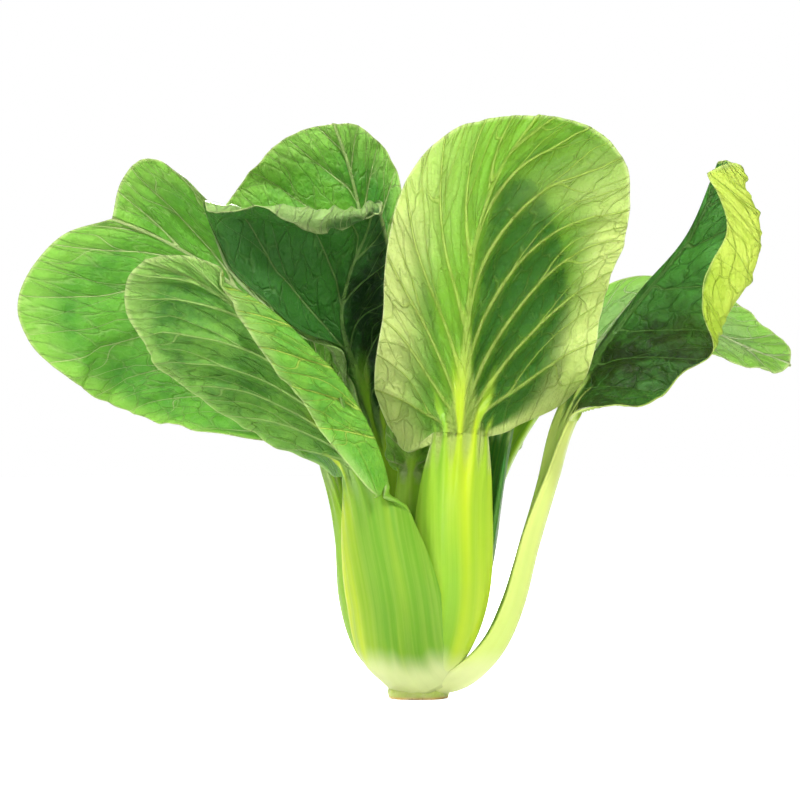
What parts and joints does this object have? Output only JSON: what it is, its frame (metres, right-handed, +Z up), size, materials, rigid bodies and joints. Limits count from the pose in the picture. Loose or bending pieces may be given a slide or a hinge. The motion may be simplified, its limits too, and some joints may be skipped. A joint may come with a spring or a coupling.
{
  "type": "bok choy",
  "caption": "Whole green-stemmed leaf cabbage with an open rosette of cupped and rolled leaves, standing on its flat trimmed butt.",
  "frame": {"origin": "centre of the flat cut face of the butt, the lowest point of the part", "axes": "+Z up along the head, -Y towards the front, X to the right seen from the front"},
  "size_m": [0.2552, 0.1254, 0.1992],
  "materials": {
    "butt": "dry cut stem end",
    "leaf_right": "satin living leaf, paler at the petiole",
    "leaf_front_left": "satin living leaf, paler at the petiole",
    "leaf_front_right": "satin living leaf, paler at the petiole",
    "leaf_rear_left": "satin living leaf, paler at the petiole",
    "leaf_rear_right": "satin living leaf, paler at the petiole",
    "leaf_far_left": "satin living leaf, paler at the petiole",
    "leaf_far_right": "satin living leaf, paler at the petiole",
    "leaf_cupped_left": "satin living leaf, paler at the petiole",
    "leaf_back_left": "satin living leaf, paler at the petiole",
    "leaf_back_right": "satin living leaf, paler at the petiole",
    "leaf_back_centre": "satin living leaf, paler at the petiole",
    "leaf_heart_left": "satin living leaf, paler at the petiole",
    "leaf_heart_right": "satin living leaf, paler at the petiole"
  },
  "bodies": {
    "root": {"butt": "butt", "leaf_right": "leaf_right", "leaf_front_left": "leaf_front_left", "leaf_front_right": "leaf_front_right", "leaf_rear_left": "leaf_rear_left", "leaf_rear_right": "leaf_rear_right", "leaf_far_left": "leaf_far_left", "leaf_far_right": "leaf_far_right", "leaf_cupped_left": "leaf_cupped_left", "leaf_back_left": "leaf_back_left", "leaf_back_right": "leaf_back_right", "leaf_back_centre": "leaf_back_centre", "leaf_heart_left": "leaf_heart_left", "leaf_heart_right": "leaf_heart_right"}
  },
  "joints": []
}
